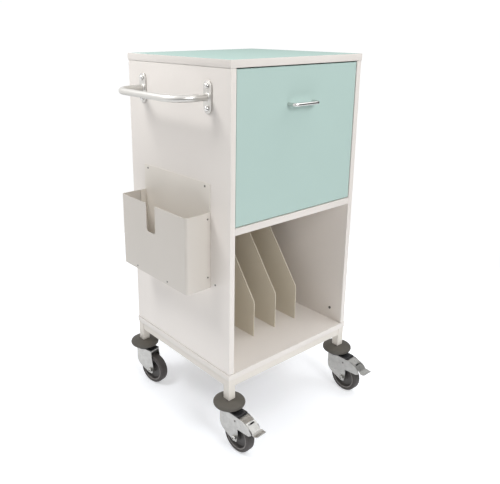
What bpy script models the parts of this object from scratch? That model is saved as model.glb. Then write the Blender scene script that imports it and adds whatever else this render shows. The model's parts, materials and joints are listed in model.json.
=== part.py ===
"""Medical records workstation: a mobile cabinet with a filing drawer above an open bay with dividers.

Units are metres, +Z is up and the front faces -Y. The origin is on the floor, under the middle of the
bounding box. Run with blender --background --python part.py, or from the text editor.
"""

import math

import bmesh
import bpy
from mathutils import Matrix, Vector

# Fits
FIT = 0.0003  # gap between pieces that touch
RUNNING = 0.0003  # radial gap round a turning pin
MERGE = 0.00001

# Cabinet boards
WIDTH = 0.513  # worktop and base board, left to right
DEPTH = 0.480  # worktop and base board, front to back
OVERHANG = 0.0015  # worktop and base board past the side panels
PANEL_THICKNESS = 0.018
WORKTOP_THICKNESS = 0.020
SHELF_THICKNESS = 0.020
BASE_THICKNESS = 0.018
BACK_THICKNESS = 0.008
BACK_RECESS = 0.002  # back panel in from the rear edges of the side panels
BAY_HEIGHT = 0.420  # clear height of the open bay
DRAWER_BAY_HEIGHT = 0.420  # clear height above the middle shelf
BOARD_EDGE = 0.001  # rounding of a board's edges

# Bay dividers
DIVIDER_COUNT = 4
DIVIDER_THICKNESS = 0.002
DIVIDER_SETBACK = 0.120  # front edge behind the cabinet's front
DIVIDER_FRONT_HEIGHT = 0.120  # upright part of the front edge
DIVIDER_SLOPE = math.radians(54)  # sloping part of the front edge, from the level
DIVIDER_CORNER = 0.020
GROOVE_DEPTH = 0.004  # in the base board and the shelf

# Base frame of square tube
TUBE = 0.025
TUBE_WALL = 0.002
TUBE_CORNER = 0.002
LEG_LENGTH = 0.069
RAIL_SETBACK = 0.0015  # rail faces in from the faces of the legs

# Casters
WHEEL_RADIUS = 0.050
TYRE_WIDTH = 0.030
TYRE_SHOULDER = 0.007
TYRE_THICKNESS = 0.0095
RIM_THICKNESS = 0.0035
RIM_INSET = 0.0012  # rim edge in from the side of the tyre
WEB_THICKNESS = 0.006
BOSS_RADIUS = 0.012
TRAIL = 0.044  # wheel axle behind the swivel axis
AXLE_RADIUS = 0.004
AXLE_HEAD_RADIUS = 0.0075
AXLE_HEAD_HEIGHT = 0.004
FORK_THICKNESS = 0.0025
FORK_WHEEL_GAP = 0.0025  # tyre to fork cheek
CROWN_THICKNESS = 0.003
CROWN_GAP = 0.0173  # tyre to fork crown
CROWN_FRONT = 0.019  # fork crown ahead of the swivel axis
CROWN_REAR = 0.046  # fork crown behind the swivel axis
CHEEK_KNEE = 0.060  # height of the knee in the cheek's leading edge
CHEEK_KNEE_ROUND = 0.030
ARM_TIP = 0.013  # fork arm below the axle
ARM_HALF_WIDTH = 0.007  # fork arm at its tip
ARM_HEEL = 0.012  # arm's trailing edge behind the axle
HEAD_RADIUS = 0.031
HEAD_TAPER = 0.003
HEAD_HEIGHT = 0.0107
KING_PIN_RADIUS = 0.006
KING_NUT_RADIUS = 0.009
KING_NUT_HEIGHT = 0.005
PLUG_LENGTH = 0.040  # caster stem inside the leg
BUMPER_RADIUS = 0.0475
BUMPER_HEIGHT = 0.0205
BUMPER_EDGE_HEIGHT = 0.015  # thickness near the rounded rim
BUMPER_FLAT_RADIUS = 0.021  # level top round the leg
LEG_SEAT_DEPTH = 0.005  # leg end inside the bumper
CASTERS = {  # side, end, angle of the trailing wheel from straight ahead, braked
    "front_left": (-1, -1, math.radians(3), True),
    "front_right": (1, -1, math.radians(1), True),
    "rear_left": (-1, 1, math.radians(12), False),
    "rear_right": (1, 1, math.radians(6), False),
}

# Brake of a front caster: reaches are behind the wheel axle, drops are below the top of the fork
LOBE_CREST_REACH = 0.022  # fork cheek's top edge starts to fall
LOBE_SHOULDER_REACH = 0.058
LOBE_SHOULDER_DROP = 0.0138
LOBE_REACH = 0.065
LOBE_DROP = 0.030
LOBE_HEEL_REACH = 0.054
LOBE_HEEL_DROP = 0.0365
LOBE_ROUND = 0.004
NOTCH_REACH = 0.011
NOTCH_DROP = 0.038
PEDAL_THICKNESS = 0.002
PEDAL_GAP = 0.0006  # pedal edge to fork cheek
PEDAL_LIP_WIDTH = 0.040
PEDAL_PATH = (  # reach and drop of the pedal's middle line, with the bend's radius
    (-0.0046, 0.0030, 0.0),
    (0.018, 0.0020, 0.020),
    (0.042, 0.0052, 0.010),
    (0.0662, 0.0225, 0.006),
    (0.0775, 0.0260, 0.012),
    (0.0875, 0.0230, 0.0),
)
PEDAL_SLOT_AT = 0.18  # slot along the pedal's slope
PEDAL_SLOT_LENGTH = 0.024
PEDAL_SLOT_WIDTH = 0.005
PEDAL_PIN_RADIUS = 0.0025
PEDAL_PIN_RISE = 0.0045  # pin above the tyre
SHOE_GAP = 0.004  # brake shoe to tyre, pedal up
SHOE_WIDTH = 0.022
SHOE_START = math.radians(66)  # round the wheel, from the level
SHOE_END = math.radians(52)

# Filing drawer
DRAWER_GAP = 0.0025  # front to the sides and the shelf
DRAWER_TOP_GAP = 0.0035
DRAWER_RECESS = 0.001  # front behind the front edges of the panels
DRAWER_FRONT_THICKNESS = 0.018
DRAWER_WALL = 0.012
DRAWER_BOTTOM_THICKNESS = 0.006
DRAWER_BOTTOM_RAISE = 0.010  # bottom board above the lower edges of the sides
DRAWER_SIDE_HEIGHT = 0.300
DRAWER_CLEARANCE = 0.010  # sides above the shelf
RUNNER_SPACE = 0.080  # cabinet depth in front of and behind the runner, together
RUNNER_LENGTH = DEPTH - RUNNER_SPACE
RUNNER_WIDTH = 0.0127  # cabinet side to drawer side
RUNNER_HEIGHT = 0.045
RUNNER_RAISE = 0.080  # centre of the runner above the drawer's lower edge
RUNNER_SHEET = 0.0012
RUNNER_GAP = 0.0006  # between nested channels
PULL_SPACING = 0.096  # drawer handle, between the legs
PULL_DIAMETER = 0.010
PULL_REACH = 0.032  # outside of the bar from the drawer front
PULL_BEND = 0.012
PULL_DROP = 0.101  # below the drawer front's top edge

# Push handle and document pocket on the left side
SIDE_CENTRE_Y = 0.005  # shared centre line of the push handle and the pocket
HANDLE_SPACING = 0.308
HANDLE_DIAMETER = 0.019
HANDLE_REACH = 0.110  # outside of the tube from the side panel
HANDLE_BEND = 0.060
HANDLE_DROP = 0.098  # tube centre below the worktop's top
HANDLE_PLATE_WIDTH = 0.033
HANDLE_PLATE_HEIGHT = 0.087
HANDLE_PLATE_THICKNESS = 0.004
POCKET_WIDTH = 0.325
POCKET_HEIGHT = 0.222
POCKET_DEPTH = 0.086
POCKET_BASE = 0.265  # pocket's lower edge above the base board's underside
POCKET_SHEET = 0.0015
POCKET_FOLD = 0.008
POCKET_BACK_RISE = 0.081  # back plate above the pocket
POCKET_FLANGE = 0.020
POCKET_FRONT_LIP = 0.014
SLOT_WIDTH = 0.045
SLOT_DEPTH = 0.085
SLOT_CORNER = 0.010
SLOT_OFFSET = 0.007  # slot's centre behind the pocket's

# Facets
ROUND_STEPS = 24
FINE_STEPS = 32
PIN_STEPS = 16
CORNER_STEPS = 4

# Heights above the floor
tyre_top = 2 * WHEEL_RADIUS
crown_bottom = tyre_top + CROWN_GAP
crown_top = crown_bottom + CROWN_THICKNESS
head_bottom = crown_top + FIT
head_top = head_bottom + HEAD_HEIGHT
bumper_bottom = head_top + FIT
bumper_top = bumper_bottom + BUMPER_HEIGHT
leg_bottom = bumper_top - LEG_SEAT_DEPTH + FIT
frame_top = leg_bottom + LEG_LENGTH
base_bottom = frame_top + FIT
base_top = base_bottom + BASE_THICKNESS
shelf_bottom = base_top + BAY_HEIGHT
shelf_top = shelf_bottom + SHELF_THICKNESS
worktop_bottom = shelf_top + DRAWER_BAY_HEIGHT
worktop_top = worktop_bottom + WORKTOP_THICKNESS
pocket_bottom = base_bottom + POCKET_BASE
pocket_top = pocket_bottom + POCKET_HEIGHT
handle_height = worktop_top - HANDLE_DROP

# Plan
panel_outside = WIDTH / 2 - OVERHANG
panel_inside = panel_outside - PANEL_THICKNESS
panel_end = DEPTH / 2 - OVERHANG
back_inside = panel_end - BACK_RECESS - BACK_THICKNESS
leg_x = panel_outside - TUBE / 2
leg_y = panel_end - TUBE / 2
fork_inside = TYRE_WIDTH / 2 + FORK_WHEEL_GAP
fork_outside = fork_inside + FORK_THICKNESS
pedal_front = TRAIL - 2 * PEDAL_PIN_RADIUS - 2 * PEDAL_GAP  # behind the swivel axis
drawer_outside = panel_inside - RUNNER_WIDTH - 2 * FIT
drawer_front_back = -panel_end + DRAWER_RECESS + DRAWER_FRONT_THICKNESS
runner_start = drawer_front_back + FIT
runner_height = shelf_top + DRAWER_CLEARANCE + RUNNER_RAISE

# Middle of the bounding box, from the middle of the cabinet
left_reach = panel_outside + max(HANDLE_REACH, POCKET_DEPTH + FIT)
right_reach = leg_x + BUMPER_RADIUS
front_reach = leg_y + TRAIL + PEDAL_PATH[-1][0]
rear_reach = leg_y + BUMPER_RADIUS
middle_x = (right_reach - left_reach) / 2
middle_y = (rear_reach - front_reach) / 2

# Turns a drawing in the XY plane to stand on edge
SIDE_VIEW = Matrix(((0, 0, 1, 0), (1, 0, 0, 0), (0, 1, 0, 0), (0, 0, 0, 1)))  # drawn as (y, z)
TRAIL_VIEW = Matrix(((0, 0, -1, 0), (-1, 0, 0, 0), (0, 1, 0, 0), (0, 0, 0, 1)))  # drawn as (-y, z)
END_VIEW = Matrix(((1, 0, 0, 0), (0, 0, -1, 0), (0, 1, 0, 0), (0, 0, 0, 1)))  # drawn as (x, z)
ACROSS = (0, math.pi / 2, 0)  # turns a Z axis to X

parts = None
cutters = None
materials = {}


def clear_scene():
    for old in list(bpy.data.objects):
        bpy.data.objects.remove(old, do_unlink=True)


def new_collection(name):
    collection = bpy.data.collections.new(name)
    bpy.context.scene.collection.children.link(collection)
    return collection


def linear(value):
    """One sRGB channel from 0 to 255 as linear light."""
    share = value / 255
    return share / 12.92 if share <= 0.04045 else ((share + 0.055) / 1.055) ** 2.4


def make_material(name, colour, roughness, metallic=0.0):
    material = bpy.data.materials.new(name)
    material.use_nodes = True
    shader = material.node_tree.nodes["Principled BSDF"]
    shader.inputs["Base Color"].default_value = (*map(linear, colour), 1)
    shader.inputs["Roughness"].default_value = roughness
    shader.inputs["Metallic"].default_value = metallic
    materials[name] = material


def make_materials():
    make_material("white_board", (238, 235, 230), 0.45)
    make_material("aqua_board", (188, 212, 205), 0.45)
    make_material("cream_paint", (224, 220, 210), 0.4)
    make_material("chrome", (225, 225, 225), 0.12, 1.0)
    make_material("zinc", (190, 190, 188), 0.32, 1.0)
    make_material("bumper_rubber", (105, 100, 95), 0.75)
    make_material("tyre_rubber", (68, 64, 62), 0.8)
    make_material("hub_plastic", (92, 89, 87), 0.55)
    make_material("black_plastic", (38, 38, 40), 0.5)


def place(name, data, material, parent, location=(0, 0, 0), rotation=(0, 0, 0)):
    """An object in the parts collection, or in the cutters when it has no material."""
    obj = bpy.data.objects.new(name, data)
    (parts if material else cutters).objects.link(obj)
    obj.parent = parent
    obj.location = location
    obj.rotation_euler = rotation
    if material:
        obj.data.materials.append(materials[material])
    else:
        obj.hide_render = True
        obj.display_type = "WIRE"
    return obj


def empty(name, parent, location=(0, 0, 0), rotation=(0, 0, 0)):
    obj = bpy.data.objects.new(name, None)
    parts.objects.link(obj)
    obj.empty_display_size = TUBE
    obj.parent = parent
    obj.location = location
    obj.rotation_euler = rotation
    return obj


def bmesh_data(name, shape):
    mesh = bpy.data.meshes.new(name)
    shape.to_mesh(mesh)
    shape.free()
    return mesh


def box(name, material, parent, low, high):
    """A box between two corners, with its origin at its middle."""
    low, high = Vector(low), Vector(high)
    shape = bmesh.new()
    bmesh.ops.create_cube(shape, size=1)
    bmesh.ops.scale(shape, vec=high - low, verts=shape.verts)
    return place(name, bmesh_data(name, shape), material, parent, (low + high) / 2)


def board(name, material, parent, low, high):
    """A box with softly rounded edges."""
    obj = box(name, material, parent, low, high)
    bevel(obj, BOARD_EDGE, 2)
    return obj


def bevel(obj, width, segments):
    modifier = obj.modifiers.new("edge", "BEVEL")
    modifier.width = width
    modifier.segments = segments
    modifier.limit_method = "ANGLE"


def cylinder(name, material, parent, radius, length, centre, rotation=(0, 0, 0), steps=PIN_STEPS):
    shape = bmesh.new()
    bmesh.ops.create_cone(
        shape, cap_ends=True, segments=steps, radius1=radius, radius2=radius, depth=length
    )
    return place(name, bmesh_data(name, shape), material, parent, centre, rotation)


def fillet(corners, closed, steps=CORNER_STEPS):
    """Points of a line through (a, b, radius) corners, each rounded by an arc of its radius."""
    line = []
    for index, (a, b, radius) in enumerate(corners):
        corner = Vector((a, b))
        inner = closed or 0 < index < len(corners) - 1
        if not radius or not inner:
            line.append(corner)
            continue
        back = (Vector(corners[index - 1][:2]) - corner).normalized()
        ahead = (Vector(corners[(index + 1) % len(corners)][:2]) - corner).normalized()
        half = back.angle(ahead) / 2
        centre = corner + (back + ahead).normalized() * (radius / math.sin(half))
        start = corner + back * (radius / math.tan(half)) - centre
        side = 1 if back.x * ahead.y - back.y * ahead.x < 0 else -1
        for step in range(steps + 1):
            turn = side * (math.pi - 2 * half) * step / steps
            line.append(centre + Matrix.Rotation(turn, 2) @ start)
    return line


def curve_data(name, points, closed, dimensions):
    curve = bpy.data.curves.new(name, "CURVE")
    curve.dimensions = dimensions
    spline = curve.splines.new("POLY")
    spline.points.add(len(points) - 1)
    for point, position in zip(spline.points, points):
        point.co = (*position, 1)
    spline.use_cyclic_u = closed
    return curve


def meshed(curve, view):
    """A curve's evaluated shape as a closed mesh, turned by the given matrix."""
    guide = place(curve.name + "_guide", curve, None, None)
    graph = bpy.context.evaluated_depsgraph_get()
    mesh = bpy.data.meshes.new_from_object(guide.evaluated_get(graph))
    bpy.data.objects.remove(guide)
    shape = bmesh.new()
    shape.from_mesh(mesh)
    bmesh.ops.remove_doubles(shape, verts=shape.verts, dist=MERGE)
    bmesh.ops.recalc_face_normals(shape, faces=shape.faces)
    bmesh.ops.transform(shape, matrix=view, verts=shape.verts)
    shape.to_mesh(mesh)
    shape.free()
    mesh.name = curve.name
    bpy.data.curves.remove(curve)
    return mesh


def plate(name, material, parent, outline, thickness, view, location=(0, 0, 0)):
    """A flat outline with a thickness, centred on its plane."""
    curve = curve_data(name, [(a, b, 0) for a, b in outline], True, "2D")
    curve.fill_mode = "BOTH"
    curve.extrude = thickness / 2
    return place(name, meshed(curve, view), material, parent, location)


def rod(name, material, parent, route, diameter, resolution, location=(0, 0, 0)):
    """A round bar along a route of 3-D points."""
    curve = curve_data(name, route, False, "3D")
    curve.bevel_depth = diameter / 2
    curve.bevel_resolution = resolution
    curve.use_fill_caps = True
    obj = place(name, meshed(curve, Matrix.Identity(4)), material, parent, location)
    smooth(obj)
    return obj


def turned(name, material, parent, profile, steps, closed, location=(0, 0, 0), rotation=(0, 0, 0)):
    """A (radius, height) profile spun round Z, drawn down its outer side."""
    shape = bmesh.new()
    points = [shape.verts.new((radius, 0, height)) for radius, height in profile]
    for first, second in zip(points, points[1:]):
        shape.edges.new((first, second))
    if closed:
        shape.edges.new((points[-1], points[0]))
    obj = place(name, bmesh_data(name, shape), material, parent, location, rotation)
    screw = obj.modifiers.new("turn", "SCREW")
    screw.steps = steps
    screw.render_steps = steps
    screw.use_merge_vertices = True
    screw.merge_threshold = MERGE
    screw.use_smooth_shade = False
    return obj


def smooth(obj):
    obj.data.shade_smooth()
    obj.data.set_sharp_from_angle(angle=math.radians(35))


def boolean(obj, other, operation):
    modifier = obj.modifiers.new(other.name, "BOOLEAN")
    modifier.operation = operation
    modifier.solver = "EXACT"
    modifier.object = other


def cut(obj, cutter):
    boolean(obj, cutter, "DIFFERENCE")


def join(obj, other):
    boolean(obj, other, "UNION")


def make_cabinet(root):
    """Six boards: worktop, sides, back, middle shelf and base."""
    half_width = WIDTH / 2
    half_depth = DEPTH / 2
    board(
        "worktop", "aqua_board", root,
        (-half_width, -half_depth, worktop_bottom), (half_width, half_depth, worktop_top),
    )
    base = board(
        "base_board", "white_board", root,
        (-half_width, -half_depth, base_bottom), (half_width, half_depth, base_top),
    )
    for name, side in (("left_panel", -1), ("right_panel", 1)):
        faces = sorted((side * panel_outside, side * panel_inside))
        board(
            name, "white_board", root,
            (faces[0], -panel_end, base_top + FIT), (faces[1], panel_end, worktop_bottom - FIT),
        )
    inside = panel_inside - FIT
    shelf = board(
        "middle_shelf", "white_board", root,
        (-inside, -panel_end, shelf_bottom), (inside, back_inside - FIT, shelf_top),
    )
    board(
        "back_panel", "white_board", root,
        (-inside, back_inside, base_top + FIT), (inside, back_inside + BACK_THICKNESS, worktop_bottom - FIT),
    )
    make_dividers(root, base, shelf)


def make_dividers(root, base, shelf):
    """Sheet dividers that stand in grooves of the base board and the shelf."""
    front = -panel_end + DIVIDER_SETBACK
    rear = back_inside - FIT
    low = base_top - GROOVE_DEPTH + FIT
    high = shelf_bottom + GROOVE_DEPTH - FIT
    knee = base_top + DIVIDER_FRONT_HEIGHT
    slope_end = front + (high - knee) / math.tan(DIVIDER_SLOPE)
    outline = fillet(
        [
            (front, low, 0),
            (rear, low, 0),
            (rear, high, 0),
            (slope_end, high, 0),
            (front, knee, DIVIDER_CORNER),
        ],
        closed=True,
    )
    groove_half = DIVIDER_THICKNESS / 2 + FIT
    pitch = 2 * panel_inside / (DIVIDER_COUNT + 1)
    for number in range(1, DIVIDER_COUNT + 1):
        x = -panel_inside + number * pitch
        plate(f"divider_{number}", "cream_paint", root, outline, DIVIDER_THICKNESS, SIDE_VIEW, (x, 0, 0))
        floor_groove = box(
            f"floor_groove_{number}", None, root,
            (x - groove_half, front - FIT, base_top - GROOVE_DEPTH), (x + groove_half, back_inside, base_top + TUBE),
        )
        cut(base, floor_groove)
        shelf_groove = box(
            f"shelf_groove_{number}", None, root,
            (x - groove_half, slope_end - GROOVE_DEPTH, shelf_bottom - TUBE),
            (x + groove_half, DEPTH, shelf_bottom + GROOVE_DEPTH),
        )
        cut(shelf, shelf_groove)


def make_tube(name, root, low, high, axis):
    """A square tube between two corners, open at both ends along the given axis."""
    tube = box(name, "cream_paint", root, low, high)
    bore_low, bore_high = Vector(low), Vector(high)
    for index in range(3):
        inset = -TUBE if index == axis else TUBE_WALL
        bore_low[index] += inset
        bore_high[index] -= inset
    rounding = tube.modifiers.new("corners", "BEVEL")
    rounding.width = TUBE_CORNER
    rounding.segments = 2
    rounding.limit_method = "WEIGHT"
    weights = tube.data.attributes.new("bevel_weight_edge", "FLOAT", "EDGE")
    for edge in tube.data.edges:
        first, second = (tube.data.vertices[index].co for index in edge.vertices)
        weights.data[edge.index].value = float(abs(first[axis] - second[axis]) > MERGE)
    cut(tube, box(name + "_bore", None, root, bore_low, bore_high))


def make_base_frame(root):
    """Four legs with four rails between them."""
    half = TUBE / 2
    for corner, (side, end, _, _) in CASTERS.items():
        x, y = side * leg_x, end * leg_y
        make_tube(
            f"{corner}_leg", root, (x - half, y - half, leg_bottom), (x + half, y + half, frame_top), axis=2
        )
    low, high = frame_top - TUBE, frame_top
    rail_half = half - RAIL_SETBACK
    reach = leg_x - half - FIT
    for name, end in (("front_rail", -1), ("rear_rail", 1)):
        y = end * leg_y
        make_tube(name, root, (-reach, y - rail_half, low), (reach, y + rail_half, high), axis=0)
    reach = leg_y - half - FIT
    for name, side in (("left_rail", -1), ("right_rail", 1)):
        x = side * leg_x
        make_tube(name, root, (x - rail_half, -reach, low), (x + rail_half, reach, high), axis=1)


def tyre_profile():
    half = TYRE_WIDTH / 2
    inner = WHEEL_RADIUS - TYRE_THICKNESS
    return fillet(
        [
            (inner, half, 0),
            (WHEEL_RADIUS, half, TYRE_SHOULDER),
            (WHEEL_RADIUS, -half, TYRE_SHOULDER),
            (inner, -half, 0),
        ],
        closed=True,
        steps=2,
    )


def hub_profile():
    """Boss, thin web and rim of the wheel centre, mirrored about its middle."""
    bore = AXLE_RADIUS + RUNNING
    boss = fork_inside - FIT
    web = WEB_THICKNESS / 2
    rim_half = TYRE_WIDTH / 2 - RIM_INSET
    rim_outside = WHEEL_RADIUS - TYRE_THICKNESS - FIT
    rim_inside = rim_outside - RIM_THICKNESS
    upper = [
        (bore, boss),
        (BOSS_RADIUS, boss),
        (BOSS_RADIUS + RIM_INSET, web),
        (rim_inside - RIM_THICKNESS, web),
        (rim_inside, rim_half),
        (rim_outside, rim_half),
    ]
    return upper + [(radius, -height) for radius, height in reversed(upper)]


def head_profile():
    """Stem, bearing housing, king pin and its nut."""
    stem = TUBE / 2 - TUBE_WALL - FIT
    nut_top = crown_bottom - FIT
    return [
        (0, leg_bottom + PLUG_LENGTH),
        (stem, leg_bottom + PLUG_LENGTH),
        (stem, head_top),
        (HEAD_RADIUS, head_top),
        (HEAD_RADIUS, head_bottom + HEAD_TAPER),
        (HEAD_RADIUS - HEAD_TAPER, head_bottom),
        (KING_PIN_RADIUS, head_bottom),
        (KING_PIN_RADIUS, nut_top),
        (KING_NUT_RADIUS, nut_top),
        (KING_NUT_RADIUS, nut_top - KING_NUT_HEIGHT),
        (0, nut_top - KING_NUT_HEIGHT),
    ]


def bumper_profile():
    """A thick rubber ring with a rounded rim and a raised seat for the leg."""
    hole = TUBE / 2 - TUBE_WALL
    rim = BUMPER_EDGE_HEIGHT / 2
    middle = bumper_bottom + rim
    rounding = [
        (
            BUMPER_RADIUS - rim + rim * math.cos(math.radians(angle)),
            middle + rim * math.sin(math.radians(angle)),
        )
        for angle in (75, 45, 15, -15, -45, -75)
    ]
    return [
        (hole, bumper_top),
        (BUMPER_FLAT_RADIUS, bumper_top),
        *rounding,
        (BUMPER_FLAT_RADIUS, bumper_bottom),
        (hole, bumper_bottom),
    ]


def fork_outline(braked):
    """Side view of a fork cheek, as (distance behind the swivel axis, height)."""
    heel = (TRAIL + ARM_HEEL, WHEEL_RADIUS + ARM_TIP, ARM_TIP)
    leading = [
        (TRAIL + ARM_HALF_WIDTH, WHEEL_RADIUS - ARM_TIP, ARM_HALF_WIDTH / 2),
        (TRAIL - ARM_HALF_WIDTH, WHEEL_RADIUS - ARM_TIP, ARM_HALF_WIDTH / 2),
        (-CROWN_FRONT, CHEEK_KNEE, CHEEK_KNEE_ROUND),
        (-CROWN_FRONT, crown_top, 0),
    ]
    if not braked:
        return fillet([heel, *leading, (CROWN_REAR, crown_top, 0)], closed=True)
    lobe = [
        (LOBE_CREST_REACH, 0, LOBE_CREST_REACH),
        (LOBE_SHOULDER_REACH, LOBE_SHOULDER_DROP, LOBE_CREST_REACH),
        (LOBE_REACH, LOBE_DROP, LOBE_ROUND),
        (LOBE_HEEL_REACH, LOBE_HEEL_DROP, LOBE_ROUND),
        (NOTCH_REACH, NOTCH_DROP, 0),
    ]
    trailing = [(TRAIL + reach, crown_top - drop, radius) for reach, drop, radius in lobe]
    return fillet([heel, *leading, *trailing], closed=True)


def make_fork(corner, swivel, braked):
    """A pressed fork: a crown under the swivel head and two cheeks that hold the axle."""
    fork = plate(
        f"{corner}_fork", "zinc", swivel, fork_outline(braked), 2 * fork_outside, TRAIL_VIEW
    )
    reach = 2 * (TRAIL + LOBE_REACH)
    wheel_space = box(
        f"{corner}_wheel_space", None, swivel,
        (-fork_inside, -reach, 0), (fork_inside, reach, crown_bottom),
    )
    cut(fork, wheel_space)
    if braked:
        pedal_space = box(
            f"{corner}_pedal_space", None, swivel,
            (-fork_inside, -reach, crown_bottom - FIT), (fork_inside, -pedal_front, crown_top + TUBE),
        )
        cut(fork, pedal_space)
        pin_hole = PEDAL_PIN_RADIUS + RUNNING
        cut(fork, cylinder(
            f"{corner}_pin_hole", None, swivel, pin_hole, 3 * fork_outside, pedal_pivot(), ACROSS
        ))
    cut(fork, cylinder(
        f"{corner}_axle_hole", None, swivel, AXLE_RADIUS + RUNNING, 3 * fork_outside,
        (0, -TRAIL, WHEEL_RADIUS), ACROSS,
    ))
    cut(fork, cylinder(
        f"{corner}_king_hole", None, swivel, KING_PIN_RADIUS + RUNNING, 3 * CROWN_THICKNESS,
        (0, 0, crown_top),
    ))


def pedal_pivot():
    """Middle of the brake pedal's pin, in the caster's own frame."""
    return Vector((0, -TRAIL, tyre_top + PEDAL_PIN_RISE))


def strip(path, thickness):
    """Outline of a bent strip of even thickness along a path."""
    sides = ([], [])
    for index, point in enumerate(path):
        before = path[max(index - 1, 0)]
        after = path[min(index + 1, len(path) - 1)]
        along = (after - before).normalized()
        normal = Vector((-along.y, along.x))
        sides[0].append(point + normal * thickness / 2)
        sides[1].append(point - normal * thickness / 2)
    return sides[0] + sides[1][::-1]


def make_pedal(corner, swivel):
    """A pressed pedal over the wheel, with side ears on its pin, a slot, a wide lip and a brake shoe."""
    pivot = pedal_pivot()
    local = empty(f"{corner}_pedal_pivot", swivel, pivot)
    name = f"{corner}_brake_pedal"
    corners = [(reach, crown_top - drop - pivot.z, radius) for reach, drop, radius in PEDAL_PATH]
    path = fillet(corners, closed=False, steps=3)
    pedal = plate(name, "zinc", local, strip(path, PEDAL_THICKNESS), PEDAL_LIP_WIDTH, TRAIL_VIEW)
    half_width = fork_inside - PEDAL_GAP
    body_end = LOBE_REACH + LOBE_ROUND
    depth = 2 * LOBE_REACH
    for side in (-1, 1):
        edges = sorted((side * half_width, side * PEDAL_LIP_WIDTH))
        cut(pedal, box(
            f"{name}_side_{side + 1}", None, local,
            (edges[0], -body_end, -depth), (edges[1], depth, depth),
        ))
    start, crest, knee, heel = (Vector(corner[:2]) for corner in corners[:4])
    ear_half = 2 * PEDAL_PIN_RADIUS
    ear = fillet(
        [
            (-ear_half, -ear_half, PEDAL_PIN_RADIUS),
            (ear_half, -ear_half, PEDAL_PIN_RADIUS),
            (crest.x, crest.y - ear_half, PEDAL_PIN_RADIUS),
            (crest.x + ear_half, crest.y, 0),
            (*crest, 0),
            (-ear_half + FIT, start.y, 0),
        ],
        closed=True,
        steps=2,
    )
    for side in (-1, 1):
        offset = side * (half_width - FIT - PEDAL_THICKNESS / 2)
        join(pedal, plate(f"{name}_ear_{side + 1}", None, local, ear, PEDAL_THICKNESS, TRAIL_VIEW, (offset, 0, 0)))
    axle = Vector((0, WHEEL_RADIUS - pivot.z))
    shoe_radius = WHEEL_RADIUS + SHOE_GAP
    shoe = [
        axle + shoe_radius * Vector((math.cos(angle), math.sin(angle)))
        for angle in (SHOE_START, SHOE_END)
    ]
    shoe += [crest.lerp(knee, 0.5), crest.lerp(knee, 0.1)]
    join(pedal, plate(f"{name}_shoe", None, local, shoe, SHOE_WIDTH, TRAIL_VIEW))
    join(pedal, cylinder(f"{name}_pin", None, local, PEDAL_PIN_RADIUS, 2 * fork_outside, (0, 0, 0), ACROSS))
    slot_at = knee.lerp(heel, PEDAL_SLOT_AT)
    slope = math.atan2(heel.y - knee.y, heel.x - knee.x)
    slot = box(
        f"{name}_slot", None, local,
        (-PEDAL_SLOT_LENGTH / 2, -PEDAL_SLOT_WIDTH / 2, -ear_half),
        (PEDAL_SLOT_LENGTH / 2, PEDAL_SLOT_WIDTH / 2, ear_half),
    )
    slot.location = (0, -slot_at.x, slot_at.y)
    slot.rotation_euler = (-slope, 0, 0)
    cut(pedal, slot)


def make_axle(corner, wheel):
    """A headed bolt through both fork cheeks."""
    head_inside = fork_outside + FIT
    axle = cylinder(
        f"{corner}_axle", "zinc", wheel, AXLE_RADIUS, 2 * head_inside + AXLE_HEAD_HEIGHT, (0, 0, 0), ACROSS
    )
    for side in (-1, 1):
        centre = (side * (head_inside + AXLE_HEAD_HEIGHT / 2), 0, 0)
        join(axle, cylinder(
            f"{corner}_axle_head_{side + 1}", None, wheel, AXLE_HEAD_RADIUS, AXLE_HEAD_HEIGHT, centre, ACROSS, 6
        ))


def make_caster(root, corner, side, end, angle, braked):
    """Bumper and swivel head on the leg, and a fork, axle and wheel that swivel under them."""
    swivel = empty(f"{corner}_swivel", root, (side * leg_x, end * leg_y, 0), (0, 0, angle))
    wheel = empty(f"{corner}_wheel", swivel, (0, -TRAIL, WHEEL_RADIUS))
    fixed = empty(f"{corner}_stem", root, (side * leg_x, end * leg_y, 0))
    bumper = turned(f"{corner}_bumper", "bumper_rubber", fixed, bumper_profile(), ROUND_STEPS, True)
    seat_half = TUBE / 2 + FIT
    seat = box(
        f"{corner}_leg_seat", None, fixed,
        (-seat_half, -seat_half, bumper_top - LEG_SEAT_DEPTH), (seat_half, seat_half, bumper_top + TUBE),
    )
    cut(bumper, seat)
    turned(f"{corner}_swivel_head", "black_plastic", fixed, head_profile(), ROUND_STEPS, False)
    make_fork(corner, swivel, braked)
    make_axle(corner, wheel)
    turned(f"{corner}_tyre", "tyre_rubber", wheel, tyre_profile(), FINE_STEPS, True, rotation=ACROSS)
    turned(f"{corner}_hub", "hub_plastic", wheel, hub_profile(), ROUND_STEPS, True, rotation=ACROSS)
    if braked:
        make_pedal(corner, swivel)


def channel(name, parent, web, depth, height, length, facing):
    """A C-shaped sheet channel along Y, with its flanges pointing to +X or -X."""
    half = height / 2
    sheet = facing * RUNNER_SHEET
    end = web + facing * depth
    outline = [
        (web, -half),
        (end, -half),
        (end, -half + RUNNER_SHEET),
        (web + sheet, -half + RUNNER_SHEET),
        (web + sheet, half - RUNNER_SHEET),
        (end, half - RUNNER_SHEET),
        (end, half),
        (web, half),
    ]
    plate(name, "zinc", parent, outline, length, END_VIEW, (0, length / 2, 0))


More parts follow.
